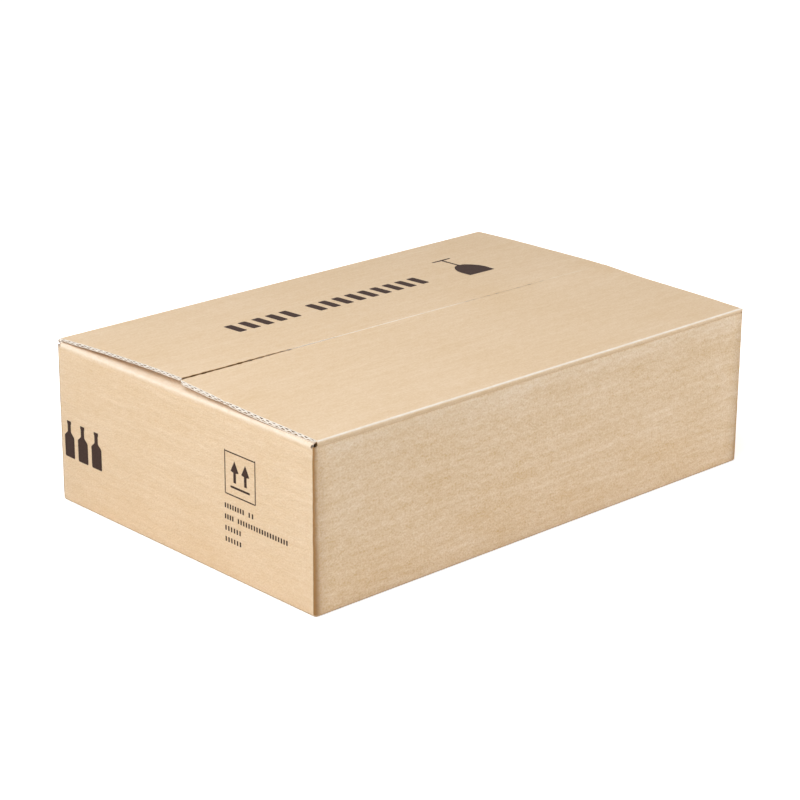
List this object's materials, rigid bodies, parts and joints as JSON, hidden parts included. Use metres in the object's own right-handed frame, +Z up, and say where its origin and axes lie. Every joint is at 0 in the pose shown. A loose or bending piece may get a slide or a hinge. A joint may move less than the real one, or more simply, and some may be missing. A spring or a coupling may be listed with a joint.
{
  "type": "bottle shipping box",
  "caption": "Closed folding carton of corrugated board for bottles lying side by side, with two outer top flaps on hinge folds and a slotted insert inside.",
  "frame": {"origin": "on the floor under the middle of the box", "axes": "+X along the box, +Y across it towards the rear long wall, +Z up"},
  "size_m": [0.38, 0.25, 0.1144],
  "materials": {
    "kraft_board": "brown kraft corrugated board, matt, fibrous",
    "insert_board": "brown kraft corrugated board, matt, fibrous"
  },
  "bodies": {
    "carton": {"carton": "kraft_board", "divider_1": "insert_board", "divider_2": "insert_board", "body_cradle_1": "insert_board", "body_cradle_2": "insert_board", "neck_cradle": "insert_board"},
    "front_flap": {"top_flap_front": "kraft_board"},
    "rear_flap": {"top_flap_rear": "kraft_board"}
  },
  "joints": [
    {"name": "front_flap_fold", "type": "hinge", "parent": "carton", "child": "front_flap", "pos_m": [0, -0.125, 0.11], "axis": [1, 0, 0], "range_deg": [0, 178]},
    {"name": "rear_flap_fold", "type": "hinge", "parent": "carton", "child": "rear_flap", "pos_m": [0, 0.125, 0.11], "axis": [-1, 0, 0], "range_deg": [0, 178]}
  ]
}
